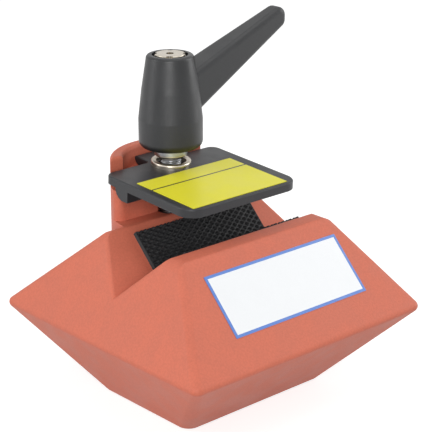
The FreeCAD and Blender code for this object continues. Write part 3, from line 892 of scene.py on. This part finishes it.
@dataclass
class Lever:
    """The moulded lever with its steel neck and the screw in its top."""

    nylon: Finish = Finish(
        "moulded_nylon",
        (30, 31, 33),
        roughness=0.42,
        variation=0.10,
        specular=0.5,
        grain=0.45,
        waviness=12.0,
        skin_depth=0.02,
        # Painted highlight: grey on the outer edges of the nylon.
        highlight_colour=(92, 94, 98),
        highlight_radius=0.6,
        highlight_strength=0.25,
    )

    def dress(self, bright: Finish, plated: Finish) -> None:
        """Finish the lever's parts.

        Args:
            bright: The finish of the screw and of the domed washer.
            plated: The finish of the neck.
        """
        dress("lever_handle", self.nylon)
        dress("retaining_screw", bright)
        dress("spherical_washer", bright)
        dress("threaded_insert", plated)


@dataclass(frozen=True)
class Lamp:
    """One soft lamp: its place and size in metres, and its power in watts."""

    name: str
    place: Point
    width: float
    height: float
    power: float


@dataclass
class Studio:
    """Floor, light and camera, in metres, with the lens and its sensor in millimetres."""

    azimuth: float = -42.1163
    elevation: float = 19.5845
    target: Point = (0.001747, 0.0, 0.06951)
    distance: float = 0.5878
    lens: float = 127.8
    sensor: float = 36.0
    clip_start: float = 0.01
    clip_end: float = 20.0
    floor_half: float = 3.0
    floor_drop: float = 0.0002
    floor_white: float = 0.72
    floor_albedo: float = 0.55
    world_level: float = 0.36
    lamps: tuple[Lamp, ...] = (
        Lamp("key_softbox", (-0.85, -0.85, 0.5), 0.6, 0.6, 8.5),
        Lamp("top_softbox", (0.1, -0.1, 1.2), 0.9, 0.9, 3.0),
        Lamp("right_strip", (0.85, -0.35, 0.4), 0.25, 0.8, 3.0),
        Lamp("left_strip", (-0.75, 0.45, 0.4), 0.25, 0.8, 2.5),
    )

    def floor_material(self) -> bpy.types.Material:
        """Make the floor's pale material, which shows the camera some extra white.

        Returns:
            The material.
        """
        made = bpy.data.materials.new("pale_floor")
        made.use_nodes = True
        made.node_tree.nodes.clear()
        wiring = Wiring(made.node_tree)
        pale = (self.floor_albedo, self.floor_albedo, self.floor_albedo, 1.0)
        matte = wiring.node("ShaderNodeBsdfDiffuse", {"Color": pale})
        glow = wiring.node("ShaderNodeEmission", {"Color": WHITE, "Strength": self.floor_white})
        both = wiring.node("ShaderNodeAddShader", {0: matte.outputs[0], 1: glow.outputs[0]})
        seen = wiring.node(
            "ShaderNodeMixShader",
            {0: self.seen_directly(wiring), 1: matte.outputs[0], 2: both.outputs[0]},
        )
        wiring.node("ShaderNodeOutputMaterial", {"Surface": seen.outputs[0]})
        return made

    def seen_directly(self, wiring: Wiring) -> bpy.types.NodeSocket:
        """Tell rays from the camera, a mirror or glass from the light's own rays.

        Args:
            wiring: The wiring of the material or the world.

        Returns:
            1 for those rays and 0 for the rest.
        """
        path = wiring.node("ShaderNodeLightPath").outputs
        mirrored = wiring.math("MAXIMUM", path["Is Glossy Ray"], path["Is Transmission Ray"])
        return wiring.math("MAXIMUM", path["Is Camera Ray"], mirrored)

    def lay_floor(self) -> None:
        """Lay the pale floor just under the base."""
        half, level = self.floor_half, -self.floor_drop
        corners = [
            (-half, -half, level),
            (half, -half, level),
            (half, half, level),
            (-half, half, level),
        ]
        mesh = bpy.data.meshes.new("studio_floor")
        mesh.from_pydata(corners, [], [(0, 1, 2, 3)])
        mesh.materials.append(self.floor_material())
        floor = bpy.data.objects.new("studio_floor", mesh)
        bpy.context.scene.collection.objects.link(floor)

    def light_world(self) -> None:
        """Light the scene evenly, and show white behind it."""
        world = bpy.data.worlds.new("studio")
        bpy.context.scene.world = world
        world.use_nodes = True
        world.node_tree.nodes.clear()
        wiring = Wiring(world.node_tree)
        soft = wiring.node("ShaderNodeBackground", {"Color": WHITE, "Strength": self.world_level})
        white = wiring.node("ShaderNodeBackground", {"Color": WHITE, "Strength": 1.0})
        seen = wiring.node(
            "ShaderNodeMixShader",
            {0: self.seen_directly(wiring), 1: soft.outputs[0], 2: white.outputs[0]},
        )
        wiring.node("ShaderNodeOutputWorld", {"Surface": seen.outputs[0]})

    def hang_light(self, lamp: Lamp) -> None:
        """Hang one soft lamp that looks at the object.

        Args:
            lamp: Its name, place, size and power.
        """
        light = bpy.data.lights.new(lamp.name, "AREA")
        light.shape = "RECTANGLE"
        light.size, light.size_y = lamp.width, lamp.height
        light.energy = lamp.power
        hung = bpy.data.objects.new(lamp.name, light)
        hung.location = lamp.place
        way = Vector(self.target) - Vector(lamp.place)
        hung.rotation_euler = way.to_track_quat("-Z", "Y").to_euler()
        bpy.context.scene.collection.objects.link(hung)

    def set_camera(self) -> None:
        """Stand the camera where the photograph was taken from."""
        turn, rise = math.radians(self.azimuth), math.radians(self.elevation)
        level = math.cos(rise)
        back = Vector((math.sin(turn) * level, -math.cos(turn) * level, math.sin(rise)))
        right = Vector((math.cos(turn), math.sin(turn), 0.0))
        stand = Matrix((right, back.cross(right), back)).transposed().to_4x4()
        stand.translation = Vector(self.target) + back * self.distance
        lens = bpy.data.cameras.new("photograph_view")
        lens.lens, lens.sensor_width = self.lens, self.sensor
        lens.clip_start, lens.clip_end = self.clip_start, self.clip_end
        camera = bpy.data.objects.new("photograph_view", lens)
        camera.matrix_world = stand
        bpy.context.scene.collection.objects.link(camera)
        bpy.context.scene.camera = camera

    def build(self) -> None:
        """Set up the whole studio."""
        self.lay_floor()
        self.light_world()
        for lamp in self.lamps:
            self.hang_light(lamp)
        self.set_camera()
        bpy.context.scene.view_settings.view_transform = "Standard"


def main() -> None:
    """Build and dress every part of the weight, then the studio."""
    logging.basicConfig(level=logging.INFO, format="%(message)s")
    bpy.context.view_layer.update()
    stud_low, stud_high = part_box("clamp_stud")
    stud_y = (stud_low.y + stud_high.y) / 2 / MM
    zinc = Finish(
        "zinc_plate",
        (168, 170, 172),
        roughness=0.34,
        metallic=1.0,
        variation=0.06,
        grain=0.8,
        skin_depth=0.004,
    )
    wire = Finish(
        "spring_wire",
        (150, 152, 156),
        roughness=0.3,
        metallic=1.0,
        variation=0.08,
        grain=0.6,
        skin_depth=0.004,
    )
    nickel = TurnedFinish(
        "turned_nickel",
        (196, 188, 174),
        roughness=0.3,
        metallic=1.0,
        variation=0.05,
        centre_y=stud_y,
    )
    Casting().dress()
    GroovePad("front_groove_pad", Side.FRONT).build()
    GroovePad("rear_groove_pad", Side.REAR).build()
    ThreadedStud(zinc).build()
    dress("spring_washer", zinc)
    CoilSpring("return_spring", "root", "plate", "spring_steel", wire, wire=0.9, turns=6.0).build()
    CoilSpring(
        "ratchet_spring", "handle", "insert", "spring_steel", wire, wire=1.0, turns=4.5
    ).build()
    ClampPlate().dress(nickel)
    Lever().dress(nickel, zinc)
    Studio().build()


if __name__ == "__main__":
    main()
